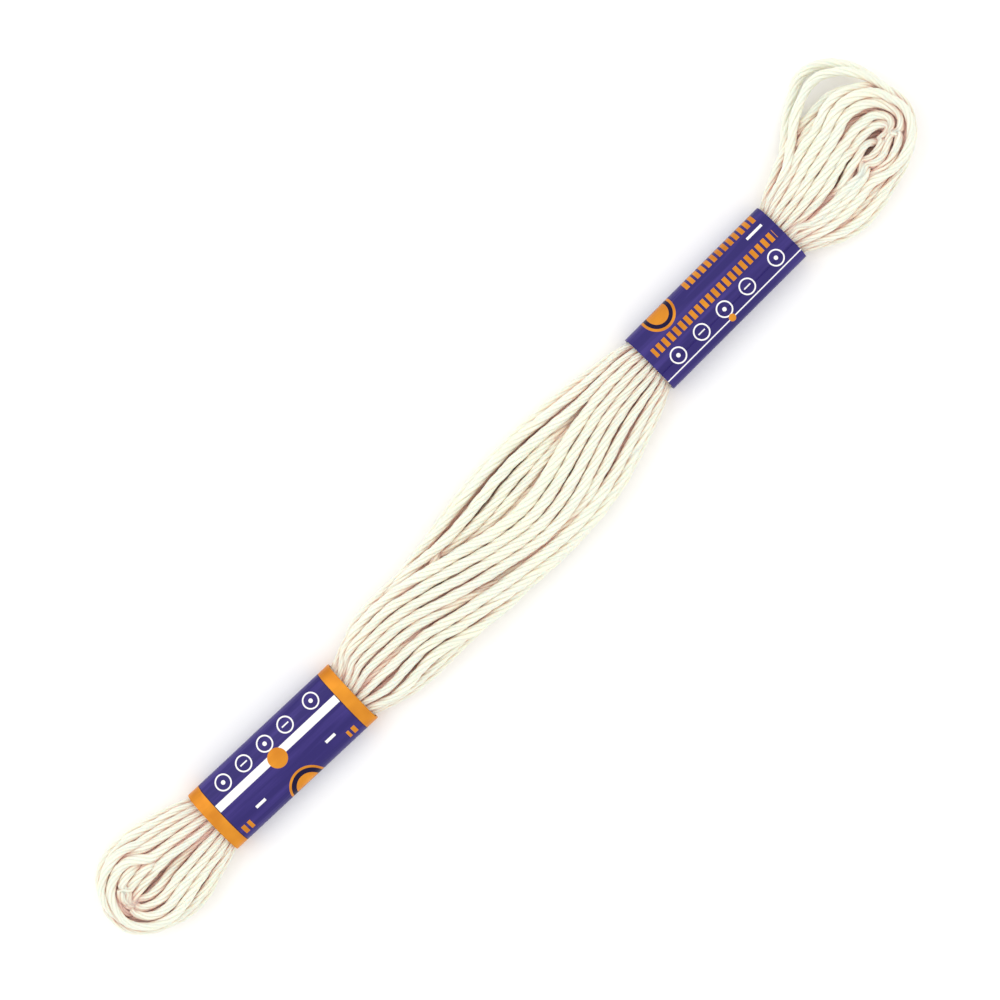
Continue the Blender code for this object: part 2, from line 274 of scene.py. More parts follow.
# Rows round the tips: a point on the opening's edge, one on the outside, and the height.
# The right tip runs from the +Y side round to the -Y side, and the left tip runs back.
# Under is how far the lower turns reach in beneath the opening.
fanColumns = ("innerX", "innerY", "outerX", "outerY", "top", "under")
rightFan = [
    (71.3, -0.15, 71.3, 8.55, 6.8, 1.9),
    (73.6, 0.20, 74.0, 8.70, 6.8, 2.1),
    (75.6, 0.05, 77.4, 8.20, 6.8, 2.2),
    (77.0, -0.60, 80.5, 5.90, 6.8, 2.3),
    (77.7, -1.35, 82.3, 2.20, 6.8, 2.4),
    (77.7, -2.15, 82.75, -1.60, 6.8, 2.5),
    (77.0, -3.00, 81.7, -5.00, 6.8, 2.5),
    (75.4, -3.70, 79.2, -7.80, 6.7, 2.5),
    (73.2, -3.95, 75.6, -9.00, 6.7, 2.4),
    (71.3, -4.05, 72.0, -9.40, 6.7, 2.3),
]
leftFan = [
    (-72.9, -5.45, -73.2, -12.75, 6.6, 1.3),
    (-75.6, -5.45, -77.2, -11.75, 6.6, 1.5),
    (-77.3, -5.20, -80.5, -9.30, 6.6, 1.7),
    (-78.4, -4.85, -82.3, -6.50, 6.6, 1.9),
    (-78.8, -4.30, -82.75, -2.90, 6.6, 2.0),
    (-78.4, -3.65, -81.6, 1.30, 6.6, 1.9),
    (-77.3, -3.20, -79.0, 3.75, 6.6, 1.6),
    (-75.2, -3.00, -75.8, 4.75, 6.6, 1.4),
    (-73.0, -3.15, -73.0, 4.55, 6.6, 1.3),
]

# Turns that leave the rest: the two that stand clear of the right loop, and the one that
# crosses its opening.
outerTurn = [
    (61.0, 2.6, 2.6),
    (64.0, 5.6, 2.2),
    (66.6, 8.0, 1.7),
    (69.1, 9.85, 1.2),
    (70.9, 11.0, 0.8),
    (72.8, 12.0, 0.7),
    (74.6, 12.4, 0.7),
    (76.4, 12.0, 0.8),
    (78.2, 10.8, 1.2),
    (79.6, 8.9, 1.9),
    (80.6, 6.4, 2.6),
    (80.9, 3.4, 3.2),
    (80.6, 0.4, 3.6),
]
innerTurn = [
    (62.0, 3.4, 5.4),
    (66.0, 6.3, 4.6),
    (68.3, 8.2, 4.0),
    (70.7, 9.6, 3.5),
    (73.0, 10.3, 3.2),
    (75.2, 10.4, 3.2),
    (77.2, 9.5, 3.6),
    (78.9, 7.8, 4.4),
    (80.1, 5.4, 5.2),
    (80.6, 2.4, 5.6),
    (80.3, -0.6, 5.6),
]
crossingTurn = [
    (56.0, -3.95, 4.4),
    (60.0, -4.00, 5.0),
    (63.0, -4.15, 5.5),
    (66.0, -3.85, 5.6),
    (68.0, -3.10, 5.5),
    (70.0, -2.25, 5.3),
    (72.0, -1.60, 5.1),
    (74.0, -1.25, 4.8),
    (76.0, -1.10, 4.5),
]


def column(rows, columns, name):
    return np.array([row[columns.index(name)] for row in rows], float)


def smoothThrough(knots, values, at):
    # a smooth curve through the rows, read at many places; flat beyond its ends
    at = np.clip(np.asarray(at, float), knots[0], knots[-1])
    i = np.clip(np.searchsorted(knots, at, side="right") - 1, 0, len(knots) - 2)
    slopes = np.gradient(values, knots)
    span = knots[i + 1] - knots[i]
    t = (at - knots[i]) / span
    return (
        (1 + 2 * t) * (1 - t) ** 2 * values[i]
        + t * (1 - t) ** 2 * span * slopes[i]
        + t * t * (3 - 2 * t) * values[i + 1]
        + t * t * (t - 1) * span * slopes[i + 1]
    )


def readRows(rows, columns, name, at):
    return smoothThrough(column(rows, columns, columns[0]), column(rows, columns, name), at)


def partingAt(rows, x):
    # low edge, high edge and depth of a parting at each plane, with no depth beyond its ends
    low, high, depth = (readRows(rows, partColumns, name, x) for name in partColumns[1:])
    inside = (x >= rows[0][0]) & (x <= rows[-1][0])
    return low, high, np.where(inside, np.maximum(depth, 0.0), 0.0)


class Section:
    # the bundle's outline in a set of planes: across from low to high, up from lift to top
    def __init__(self, low, high, top, lift, count):
        self.low, self.high, self.top, self.lift = low, high, top, lift
        thick = top - lift
        self.middle = (low + high) / 2
        self.half = (high - low) / 2
        self.centre = lift + 0.42 * thick
        self.up, self.down = 0.58 * thick, 0.42 * thick
        area = 0.88 * 2 * self.half * thick
        self.radius = np.sqrt(winding["fill"] * area / (math.pi * count))

    def place(self, across, level):
        # across runs from -1 to 1 over the width, level from 1 at the top to -1 below
        r = self.radius
        arch = (1 - np.minimum(1, np.abs(across)) ** 2.5) ** 0.4
        z = np.where(level > 0, self.up - r, self.down - r) * level * arch + self.centre
        return self.middle + (self.half - r) * across, z

    def onTop(self, y, radius, down):
        # the height at which a turn at y lies on top, or this far down from there
        share = np.clip(np.abs(y - self.middle) / (self.half - radius), 0, 1)
        arch = (1 - share**2.5) ** 0.4
        return self.centre + (self.up - radius) * arch - down

    def keepInside(self, y, z, radius):
        hw = self.half[:, None] - radius
        dy = (y - self.middle[:, None]) / hw
        dz = z - self.centre[:, None]
        above = dz > 0
        hz = np.where(above, self.up[:, None], self.down[:, None]) - radius
        dz = dz / hz
        power = np.where(above, 2.5, 4.0)
        out = np.abs(dy) ** power + np.abs(dz) ** power
        shrink = np.where(out > 1, np.maximum(out, 1e-9) ** (-1 / power), 1.0)
        y = self.middle[:, None] + dy * shrink * hw
        z = self.centre[:, None] + dz * shrink * hz
        return y, z


def makePlanes():
    count = round((69.4 + 71.2) / winding["planeStep"])
    x = np.linspace(-71.2, 69.4, count + 1)
    low, high, top, lift = (readRows(runRows, runColumns, n, x) for n in runColumns[1:])
    return x, Section(low, high, top, lift, 2 * winding["turns"])


class Fan:
    # planes that turn round a loop's tip, each with a foot on the opening's edge
    def __init__(self, rows):
        knots = np.arange(len(rows), dtype=float)
        at = np.linspace(0, len(rows) - 1, (len(rows) - 1) * winding["fanSteps"] + 1)
        got = {n: smoothThrough(knots, column(rows, fanColumns, n), at) for n in fanColumns}
        self.foot = np.stack([got["innerX"], got["innerY"]], 1)
        reach = np.stack([got["outerX"], got["outerY"]], 1) - self.foot
        self.width = np.linalg.norm(reach, axis=1)
        self.out = reach / self.width[:, None]
        self.under = got["under"]
        self.section = Section(
            np.zeros(len(at)), self.width, got["top"], np.zeros(len(at)), winding["turns"]
        )

    def shear(self, z):
        # how far the section's inner side has moved in at this height
        return self.under[:, None] * np.clip((0.86 - z / self.section.top[:, None]) / 0.16, 0, 1)

    def keepInside(self, a, z, radius):
        # the section leans in below, so it is straightened, kept to, and leant again
        lean = self.shear(z)
        share = np.clip(1 - a / self.width[:, None], 0, 1)
        a, z = self.section.keepInside(a + lean * share, z, radius)
        return a - self.shear(z) * share, z


def slotsOf(layers):
    # each turn's layer and place in it, back and forth so that following turns are neighbours
    slots = []
    for layer, count in enumerate(layers):
        places = range(count) if layer % 2 == 0 else reversed(range(count))
        slots += [(layer, i, count) for i in places]
    return slots


levels = (1.0, 0.55, 0.0, -0.5, -1.0)
reachOfLayer = (0.82, 0.95, 1.0, 0.97, 0.86)
looseTurns = (5, 6)  # the outermost of the two upper layers, which stand clear on the right
underOpening = 1.2


def shareOf(k, slots, counts, right):
    # how far along its layer a turn lies, from the opening's side to the outside
    layer, i, count = slots[k]
    gone = right and layer < 2 and counts is winding["layersUp"]
    count -= 1 if gone else 0
    return layer, min(i, count - 0.5), count


def firstPlaces(x, section):
    # where each of the 48 runs would lie in tidy layers
    turns = winding["turns"]
    y = np.zeros((len(x), 2 * turns))
    z = np.zeros_like(y)
    up, down = winding["layersUp"], winding["layersDown"]
    slots = (slotsOf(up), slotsOf(down))
    # in the loops the two sides of the coil lie apart, and between the labels they mix
    split = np.clip((np.abs(x - 0.5) - 44) / 14, 0, 1)
    openings = (leftOpening, rightOpening)
    middle = np.where(x < 0, -4.4, -3.6)
    for rows in openings:
        low, high, depth = partingAt(rows, x)
        middle = np.where(depth > 0, (low + high) / 2, middle)
    for k in range(turns):
        for side in (0, 1):
            layer, i, count = slots[side][k]
            total = up[layer] + down[layer]
            rank = down[layer] + i if side == 0 else down[layer] - 1 - i
            reach = reachOfLayer[layer]
            across = np.full(len(x), -reach + 2 * reach * (rank + 0.5) / total)
            whole, z[:, 2 * k + side] = section.place(across, levels[layer])
            far = section.middle + (1 if side == 0 else -1) * section.half * reach
            apart = np.zeros(len(x))
            for right in (False, True):
                _, i, count = shareOf(k, slots[side], up if side == 0 else down, right)
                there = middle + (far - middle) * (i + 0.5) / count
                apart = np.where((x > 0) == right, there, apart)
            y[:, 2 * k + side] = whole * (1 - split) + apart * split
    return y, z


def fanPlaces(fan, right):
    # a turn's place in its +Y layer turns bit by bit into its place in its -Y layer
    turns = winding["turns"]
    n = len(fan.width)
    a = np.zeros((n, turns))
    z = np.zeros_like(a)
    towards = np.linspace(0, 1, n)
    towards = towards**2 * (3 - 2 * towards)
    if not right:
        towards = 1 - towards
    for counts, weight in ((winding["layersUp"], 1 - towards), (winding["layersDown"], towards)):
        slots = slotsOf(counts)
        for k in range(turns):
            layer, i, count = shareOf(k, slots, counts, right)
            reach = reachOfLayer[layer]
            across = np.full(n, -reach + 2 * reach * (i + 0.5) / count)
            there, level = fan.section.place(across, levels[layer])
            a[:, k] += weight * there
            z[:, k] += weight * level
    return a - fan.shear(z) * np.clip(1 - a / fan.width[:, None], 0, 1), z


def alongRay(foot, out, table):
    # where a route crosses the plane that stands on foot and runs along out
    points = np.array(table, float)
    along = np.array([-out[1], out[0]])
    side = (points[:, :2] - foot) @ along
    reach = (points[:, :2] - foot) @ out
    for i in range(len(points) - 1):
        if side[i] * side[i + 1] <= 0 and side[i] != side[i + 1] and reach[i] > -4:
            t = side[i] / (side[i] - side[i + 1])
            return reach[i] + t * (reach[i + 1] - reach[i]), points[i, 2] * (1 - t) + points[i + 1, 2] * t
    return None


def smoothNoise(rng, length, scale):
    # a wandering value along the planes, about -1 to 1, that turns every few scale planes
    knots = rng.normal(0, 0.6, int(length / scale) + 3)
    at = np.arange(length) / scale
    i = at.astype(int)
    t = at - i
    t = t * t * (3 - 2 * t)
    return knots[i] * (1 - t) + knots[i + 1] * t


def spread(y, z, radius, push):
    # runs that overlap in a plane move apart
    dy = y[:, :, None] - y[:, None, :]
    dz = z[:, :, None] - z[:, None, :]
    gap = np.sqrt(dy * dy + dz * dz) + 1e-6
    near = np.maximum(0, radius[:, :, None] + radius[:, None, :] - gap)
    near[:, np.arange(y.shape[1]), np.arange(y.shape[1])] = 0
    move = push * 0.5 * near / gap
    return y + (move * dy).sum(2), z + (move * dz).sum(2)


def openParting(x, section, y, z, radius, rows):
    # turns near the top stand aside from the gap, and those below make its floor
    low, high, depth = partingAt(rows, x)
    middle = ((low + high) / 2)[:, None]
    half = ((high - low) / 2)[:, None]
    depth = depth[:, None]
    floor = section.top[:, None] - depth
    over = z + radius - floor
    need = half * np.clip(over / np.maximum(depth, 0.05), 0, 1) ** 0.5 + 0.9 * radius
    off = y - middle
    inGap = (depth > 0.05) & (over > 0) & (np.abs(off) < need)
    sinks = inGap & (over < 0.45 * depth + 0.25 * radius)
    stands = inGap & ~sinks
    side = np.where(off >= 0, 1.0, -1.0)
    y = np.where(stands, y + 0.7 * (middle + side * need - y), y)
    return y, np.where(sinks, z - 0.7 * over, z)


def windHank():
    rng = np.random.default_rng(winding["seed"])
    turns = winding["turns"]
    x, section = makePlanes()
    fans = [Fan(rightFan), Fan(leftFan)]
    y, z = firstPlaces(x, section)
    fanA, fanZ = zip(*(fanPlaces(fan, right) for fan, right in zip(fans, (True, False))))
    fanA, fanZ = list(fanA), list(fanZ)
    planes, fanCounts = len(x), [len(f.width) for f in fans]
    perTurn = 2 * planes + sum(fanCounts)

    # each turn's run through the planes: +Y side, right tip, -Y side, left tip
    start = int(np.argmin(np.abs(x + 48)))

    thick = 1 + 0.05 * rng.normal(size=turns)
    thick[winding["heroTurn"]] = winding["heroThick"]
    radius = section.radius[:, None] * np.repeat(thick, 2)[None, :]
    fanRadius = [f.section.radius[:, None] * thick[None, :] for f in fans]

    # the tidy layers are stirred a little, as real turns wander
    for k in range(turns):
        sway = [smoothNoise(rng, perTurn, s) for s in (9, 9, 22)]
        swayY, swayZ = sway[0] + sway[2], sway[1]
        cut = np.cumsum([0, planes, fanCounts[0], planes, fanCounts[1]])
        y[:, 2 * k] += winding["wander"] * swayY[cut[0] : cut[1]]
        z[:, 2 * k] += winding["wander"] * swayZ[cut[0] : cut[1]]
        fanA[0][:, k] += winding["wander"] * swayY[cut[1] : cut[2]]
        fanZ[0][:, k] += winding["wander"] * swayZ[cut[1] : cut[2]]
        y[:, 2 * k + 1] -= winding["wander"] * swayY[cut[2] : cut[3]][::-1]
        z[:, 2 * k + 1] += winding["wander"] * swayZ[cut[2] : cut[3]][::-1]
        fanA[1][:, k] += winding["wander"] * swayY[cut[3] : cut[4]]
        fanZ[1][:, k] += winding["wander"] * swayZ[cut[3] : cut[4]]

    # each run is drawn to its tidy place, and the ones that show between the labels are
    # held to their own lines
    hold = 0.05 * np.ones_like(y)
    hold[(x > -60) & (x < -36)] = 0.01
    hold[(x > 31) & (x < 54)] = 0.01
    free = np.zeros_like(y, bool)
    firm = 0.5 * np.clip((x + 34) / 6, 0, 1) * np.clip((31 - x) / 6, 0, 1)
    shown = [(2 * k, f"s{6 - k}") for k in range(6)] + [(2 * k + 1, f"s{7 + k}") for k in range(4)]
    for run, name in shown:
        r = radius[:, run]
        across = readRows(topRuns, topColumns, name, x)
        across = np.clip(across, section.low + 1.05 * r, section.high - 1.05 * r)
        down = readRows(dips, dipColumns, name, x) if name in dipColumns else 0.0
        weight = np.clip(firm / 0.2, 0, 1)
        y[:, run] += weight * (across - y[:, run])
        z[:, run] += weight * (section.onTop(across, r, down) - z[:, run])
        hold[:, run] = np.maximum(hold[:, run], firm)
        free[:, run] |= firm > 0.4
    firm = 0.4 * np.clip((x + 19) / 5, 0, 1) * np.clip((21 - x) / 4, 0, 1)
    for k, name in ((8, "near"), (9, "far")):
        r = radius[:, 2 * k]
        across = readRows(between, betweenColumns, name, x)
        down = readRows(between, betweenColumns, name + "Down", x)
        weight = np.clip(firm / 0.2, 0, 1)
        y[:, 2 * k] += weight * (across - y[:, 2 * k])
        z[:, 2 * k] += weight * (section.onTop(across, r, down) - z[:, 2 * k])
        hold[:, 2 * k] = np.maximum(hold[:, 2 * k], firm)
        free[:, 2 * k] |= firm > 0.2

    # turns that leave the rest are held to their own routes
    fanHold = [0.06 * np.ones_like(a) for a in fanA]
    fanFree = [np.zeros_like(a, bool) for a in fanA]
    pastTip = fanCounts[0] // 2 + 2
    for k, table, side in ((6, outerTurn, 0), (5, innerTurn, 0), (8, crossingTurn, 1)):
        for j in range(planes):
            found = alongRay(np.array([x[j], 0.0]), np.array([0.0, 1.0]), table)
            if found:
                y[j, 2 * k + side], z[j, 2 * k + side] = found
                hold[j, 2 * k + side] = 0.5
                free[j, 2 * k + side] = True
        for j in range(pastTip if side else 0, fanCounts[0]):
            found = alongRay(fans[0].foot[j], fans[0].out[j], table)
            if found:
                fanA[0][j, k], fanZ[0][j, k] = found
                fanHold[0][j, k] = 0.5
                fanFree[0][j, k] = True

    aimY, aimZ = y.copy(), z.copy()
    fanAim = [(a.copy(), b.copy()) for a, b in zip(fanA, fanZ)]

    def toRoute():
        # every plane's places as one long route in space
        route = np.zeros((turns, perTurn, 3))
        p, f0 = planes, fanCounts[0]
        route[:, :p, 0] = x
        route[:, :p, 1] = y[:, 0::2].T
        route[:, :p, 2] = z[:, 0::2].T
        for at, fan, a, b in (
            (p, fans[0], fanA[0], fanZ[0]),
            (2 * p + f0, fans[1], fanA[1], fanZ[1]),
        ):
            n = len(fan.width)
            route[:, at : at + n, :2] = fan.foot[None] + a.T[:, :, None] * fan.out[None]
            route[:, at : at + n, 2] = b.T
        route[:, p + f0 : 2 * p + f0, 0] = x[::-1]
        route[:, p + f0 : 2 * p + f0, 1] = y[::-1, 1::2].T
        route[:, p + f0 : 2 * p + f0, 2] = z[::-1, 1::2].T
        route = np.roll(route, -start, axis=1)
        return route.reshape(-1, 3)

    def fromRoute(route):
        route = np.roll(route.reshape(turns, perTurn, 3), start, axis=1)
        p, f0 = planes, fanCounts[0]
        y[:, 0::2] = route[:, :p, 1].T
        z[:, 0::2] = route[:, :p, 2].T
        for at, fan, a, b in (
            (p, fans[0], fanA[0], fanZ[0]),
            (2 * p + f0, fans[1], fanA[1], fanZ[1]),
        ):
            n = len(fan.width)
            a[:] = np.einsum("tnc,nc->nt", route[:, at : at + n, :2] - fan.foot[None], fan.out)
            b[:] = route[:, at : at + n, 2].T
        y[::-1, 1::2] = route[:, p + f0 : 2 * p + f0, 1].T
        z[::-1, 1::2] = route[:, p + f0 : 2 * p + f0, 2].T

    rounds = winding["rounds"]
    for step in range(rounds):
        late = step / rounds
        route = toRoute()
        for _ in range(3):
            bend = 0.5 * (route[:-2] + route[2:]) - route[1:-1]
            route[1:-1] += (0.5 - 0.2 * late) * bend
        fromRoute(route)
        y += hold * (aimY - y)
        z += hold * (aimZ - z)
        for _ in range(2):
            yy, zz = spread(y, z, radius, 0.7)
            y[:], z[:] = yy, zz
            y += 0.5 * hold * (aimY - y)
            z += 0.5 * hold * (aimZ - z)
        for rows in (mainParting, lowerParting, leftOpening, rightOpening):
            yy, zz = openParting(x, section, y, z, radius, rows)
            y[:], z[:] = np.where(free, y, yy), np.where(free, z, zz)
        yy, zz = section.keepInside(y, z, radius)
        y[:], z[:] = np.where(free, y, yy), np.where(free, z, zz)
        np.maximum(z, 1.08 * radius, out=z)
        for i, fan in enumerate(fans):
            a, b = fanA[i], fanZ[i]
            a += fanHold[i] * (fanAim[i][0] - a)
            b += fanHold[i] * (fanAim[i][1] - b)
            for _ in range(2):
                aa, bb = spread(a, b, fanRadius[i], 0.7)
                a[:], b[:] = aa, bb
            aa, bb = fan.keepInside(a, b, fanRadius[i])
            a[:], b[:] = np.where(fanFree[i], a, aa), np.where(fanFree[i], b, bb)
            np.maximum(b, 1.08 * fanRadius[i], out=b)

    route = toRoute()
    p, f0 = planes, fanCounts[0]
    size = np.zeros((turns, perTurn))
    size[:, :p] = radius[:, 0::2].T
    size[:, p : p + f0] = fanRadius[0].T
    size[:, p + f0 : 2 * p + f0] = radius[::-1, 1::2].T
    size[:, 2 * p + f0 :] = fanRadius[1].T
    size = np.roll(size, -start, axis=1).reshape(-1)
    return route, size


route, size = windHank()
length = np.linalg.norm(np.diff(route, axis=0), axis=1).sum()
print(f"the hank is wound: {length / 1000:.2f} m of floss, radius {size.min():.2f} to {size.max():.2f} mm")

# --- the six strands ---

strand = {
    "count": 6,
    "pitch": 12.0,  # mm of floss in which its strands go round once
    "ring": 0.56,  # the strands' middles, as a share of the floss's radius
    "thick": 0.45,  # a strand's radius, as a share of the floss's radius
    "sides": 8,
    "step": 1.0,
    "stepHidden": 3.0,
}


def resample(route, size):
    # points close together where the floss shows and further apart inside the labels
    along = np.concatenate([[0], np.cumsum(np.linalg.norm(np.diff(route, axis=0), axis=1))])
    dense = np.arange(0, along[-1], 0.1)
    fine = np.stack([smoothThrough(along, route[:, i], dense) for i in range(3)], 1)
    thick = np.interp(dense, along, size)
    hidden = ((fine[:, 0] > -59) & (fine[:, 0] < -37)) | ((fine[:, 0] > 32) & (fine[:, 0] < 53))
    direction = np.gradient(fine, axis=0)
    direction /= np.linalg.norm(direction, axis=1)[:, None]
    turning = np.linalg.norm(np.gradient(direction, axis=0), axis=1) / 0.1
    want = np.where(hidden, strand["stepHidden"], strand["step"])
    want = np.minimum(want, np.maximum(0.45, 0.28 / np.maximum(turning, 1e-3)))
    tick = np.cumsum(0.1 / want)
    picks = np.searchsorted(tick, np.arange(0, tick[-1], 1.0))
    return fine[picks], thick[picks], dense[picks]


def carriedFrame(points):
    # a frame that goes along the line without turning about it
    tangent = np.gradient(points, axis=0)
    tangent /= np.linalg.norm(tangent, axis=1)[:, None]
    side = np.zeros_like(points)
    first = np.cross(tangent[0], (0, 0, 1.0))
    side[0] = first / np.linalg.norm(first)
    for i in range(1, len(points)):
        s = side[i - 1] - tangent[i] * np.dot(side[i - 1], tangent[i])
        side[i] = s / np.linalg.norm(s)
    return side, np.cross(tangent, side)


def makeStrands(route, size):
    points, thick, along = resample(route, size)
    side, up = carriedFrame(points)
    rng = np.random.default_rng(5)
    strands = []
    for n in range(strand["count"]):
        wander = smoothNoise(rng, len(points), 14)
        angle = 2 * math.pi * (n / strand["count"] + along / strand["pitch"]) + 0.30 * wander
        ring = strand["ring"] * thick * (1 + 0.16 * smoothNoise(rng, len(points), 9))
        centre = points + ring[:, None] * (
            np.cos(angle)[:, None] * side + np.sin(angle)[:, None] * up
        )
        own = strand["thick"] * thick * (1 + 0.05 * smoothNoise(rng, len(points), 6))
        strands.append(makeTube(f"floss-strand-{n + 1}", centre, own, side, up, along))
    return strands, points


def makeTube(name, centre, radius, side, up, along):
    count, sides = len(centre), strand["sides"]
    theta = 2 * math.pi * np.arange(sides) / sides
    ring = np.cos(theta)[None, :, None] * side[:, None] + np.sin(theta)[None, :, None] * up[:, None]
    verts = (centre[:, None] + radius[:, None, None] * ring).reshape(-1, 3) * mm
    i = np.arange(count - 1)[:, None] * sides
    j = np.arange(sides)[None, :]
    k = (j + 1) % sides
    quads = np.stack([i + j, i + k, i + sides + k, i + sides + j], -1).reshape(-1, 4)
    caps = [list(range(sides))[::-1], [(count - 1) * sides + s for s in range(sides)]]
    mesh = bpy.data.meshes.new(name)
    faces = quads.tolist() + caps
    mesh.from_pydata(verts.tolist(), [], faces)
    uv = mesh.uv_layers.new(name="along")
    u0, u1 = along[:-1][:, None], along[1:][:, None]
    v0 = np.broadcast_to(j / sides, (count - 1, sides))
    v1 = v0 + 1 / sides
    u0, u1 = np.broadcast_to(u0, v0.shape), np.broadcast_to(u1, v0.shape)
    corners = np.stack([u0, v0, u0, v1, u1, v1, u1, v0], -1).reshape(-1)
    corners = np.concatenate([corners, np.zeros(4 * sides)])
    uv.data.foreach_set("uv", corners.astype(np.float32))
    mesh.polygons.foreach_set("use_smooth", np.ones(len(mesh.polygons), bool))
    mesh.update()
    obj = bpy.data.objects.new(name, mesh)
    bpy.context.collection.objects.link(obj)
    return obj, centre


# How crowded the space round each point is; the cotton's painted shade is read from it.
hollows = {
    "cell": 0.35,  # mm
    "reach": 3,  # cells each way that count as near
    "stand": 0.45,  # mm out from the surface
    "open": 0.20,
    "closed": 0.52,
}


def crowding(strands):
    # how full of floss the space round each place is
    cell = hollows["cell"]
    places = np.concatenate([centre for _, centre in strands])
    low = places.min(0) - 3
    shape = np.ceil((places.max(0) + 3 - low) / cell).astype(int)
    fine = []
    for _, centre in strands:
        for t in (0.0, 0.25, 0.5, 0.75):
            fine.append(centre[:-1] * (1 - t) + centre[1:] * t)
    index = np.floor((np.concatenate(fine) - low) / cell).astype(int)
    full = np.zeros(shape)
    full[tuple(index.T)] = 1.0
    for axis in range(3):
        for passes in range(2):
            total = np.zeros_like(full)
            for step in range(-hollows["reach"] + 1, hollows["reach"]):
                total += np.roll(full, step, axis)
            full = total / (2 * hollows["reach"] - 1)
    return low, full


def markHollows(strands):
    # each point is told how far in among its neighbours it lies, which sets the painted shade
    low, full = crowding(strands)
    full = full / np.quantile(full[full > 0.02], 0.97)
    for obj, _ in strands:
        mesh = obj.data
        count = len(mesh.vertices)
        place, normal = np.empty(3 * count), np.empty(3 * count)
        mesh.vertices.foreach_get("co", place)
        mesh.vertices.foreach_get("normal", normal)
        at = place.reshape(-1, 3) / mm + hollows["stand"] * normal.reshape(-1, 3)
        where = np.clip((at - low) / hollows["cell"] - 0.5, 0, np.array(full.shape) - 2)
        base = where.astype(int)
        part = where - base
        value = np.zeros(count)
        for corner in np.ndindex(2, 2, 2):
            weight = np.prod(np.where(corner, part, 1 - part), axis=1)
            value += weight * full[tuple((base + corner).T)]
        value = np.clip((value - hollows["open"]) / (hollows["closed"] - hollows["open"]), 0, 1)
        mesh.attributes.new("hollow", "FLOAT", "POINT").data.foreach_set("value", value)


# Mercerised cotton: combed, six loosely laid strands, each a two-ply yarn. The lye finish
# gives it a soft, silky light along the fibres. Light that comes through the yarn warms the
# hollows between turns, and on top of that their shade is painted in, warmer and pinker.
cotton = {
    "light": "#FBF6DC",
    "pale": "#FDFAE8",
    # painted shade: the colour of crowded places, and of the most crowded ones
    "paintedShade": "#F4DFC6",
    "paintedDeepShade": "#EFC7B8",
    "plyPitch": 1.6,  # mm of strand in which its two plies go round once
    "fibre": 0.12,  # mm, drawn coarser than the real 0.015 so that it shows
}


